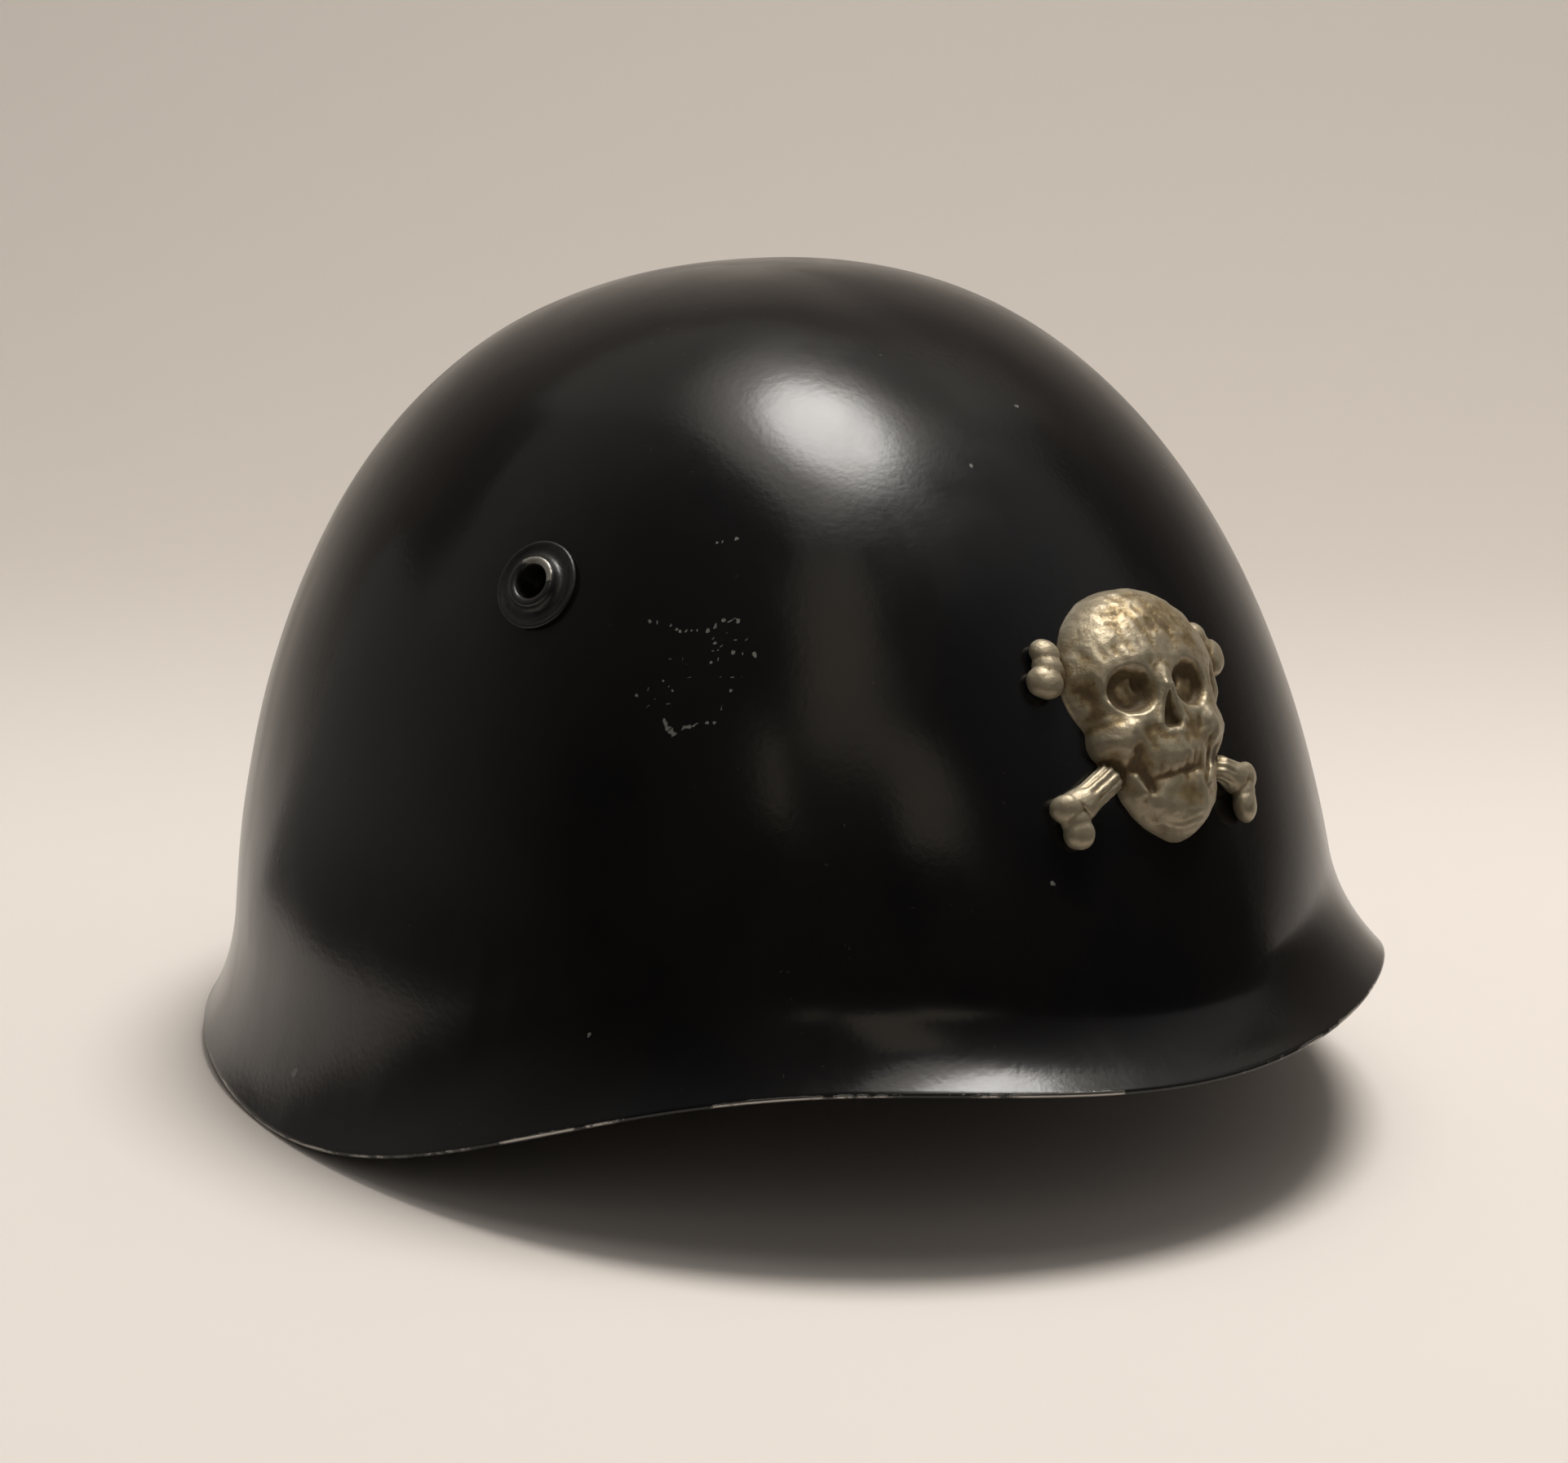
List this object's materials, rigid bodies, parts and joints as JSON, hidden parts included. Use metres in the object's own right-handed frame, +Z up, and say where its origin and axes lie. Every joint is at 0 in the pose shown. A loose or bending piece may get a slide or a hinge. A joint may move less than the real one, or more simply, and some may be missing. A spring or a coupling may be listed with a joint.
{
  "type": "steel helmet",
  "caption": "Pressed steel helmet with a flared rim, hollow vent rivets, a riveted front badge, a leather liner on a hung band and a buckled leather chinstrap.",
  "frame": {"origin": "under the middle of the helmet's box, on the surface that it stands on", "axes": "+Z up, the front with the badge faces -Y, the wearer's left is +X"},
  "size_m": [0.234, 0.28, 0.1717],
  "materials": {
    "black_paint": "gloss enamel, worn to bare steel on the edges",
    "rivet_paint": "enamel worn to bare metal on the collar",
    "zinc": "zinc plated, dull",
    "grey_green_paint": "thin matt primer",
    "felt": "pressed grey-green felt",
    "leather": "vegetable-tanned, waxed, creased",
    "strap_leather": "vegetable-tanned, waxed edges",
    "brass": "tarnished",
    "badge_brass": "worn silver wash over brass, brown patina in the hollows",
    "wire": "nickelled, dull",
    "lace": "waxed cotton"
  },
  "bodies": {
    "helmet": {"shell": "black_paint", "vent_rivet_right": "rivet_paint", "vent_rivet_left": "rivet_paint", "vent_rivet_rear": "rivet_paint", "vent_washers": "zinc", "hanger_right": "grey_green_paint", "hanger_left": "grey_green_paint", "hanger_rear": "grey_green_paint", "hanger_rivets": "zinc", "liner_band": "grey_green_paint", "felt_pad": "felt", "leather_liner": "leather", "liner_rivets": "brass", "crown_lace": "lace", "lug_right": "grey_green_paint", "lug_left": "grey_green_paint", "lug_rivets": "zinc", "chinstrap_long": "strap_leather", "chinstrap_short": "strap_leather", "strap_rivets": "brass", "badge": "badge_brass", "badge_studs": "brass", "badge_washers": "zinc", "badge_nuts": "brass"},
    "bail_right": {"bail_right": "wire"},
    "bail_left": {"bail_left": "wire"},
    "buckle": {"buckle_frame": "wire"},
    "prong": {"buckle_prong": "wire"},
    "keeper": {"strap_keeper": "strap_leather"}
  },
  "joints": [
    {"name": "bail_left_swing", "type": "hinge", "parent": "helmet", "child": "bail_left", "pos_m": [0.0933, 0, 0.0265], "axis": [0, 1, 0], "range_deg": [-50, 50], "deforming": ["chinstrap_long"]},
    {"name": "bail_right_swing", "type": "hinge", "parent": "helmet", "child": "bail_right", "pos_m": [-0.0933, 0, 0.0265], "axis": [0, 1, 0], "range_deg": [-50, 50], "deforming": ["chinstrap_short"]},
    {"name": "buckle_swing", "type": "hinge", "parent": "helmet", "child": "buckle", "pos_m": [-0.072, 0, 0.062], "axis": [0, 1, 0], "range_deg": [0, 20], "deforming": ["chinstrap_long"]},
    {"name": "prong_swing", "type": "hinge", "parent": "buckle", "child": "prong", "pos_m": [-0.072, 0, 0.062], "axis": [0, 1, 0], "range_deg": [0, 30]},
    {"name": "keeper_slide", "type": "slide", "parent": "helmet", "child": "keeper", "axis": [0, 0, 1], "range_m": [-0.005, 0.005]}
  ]
}
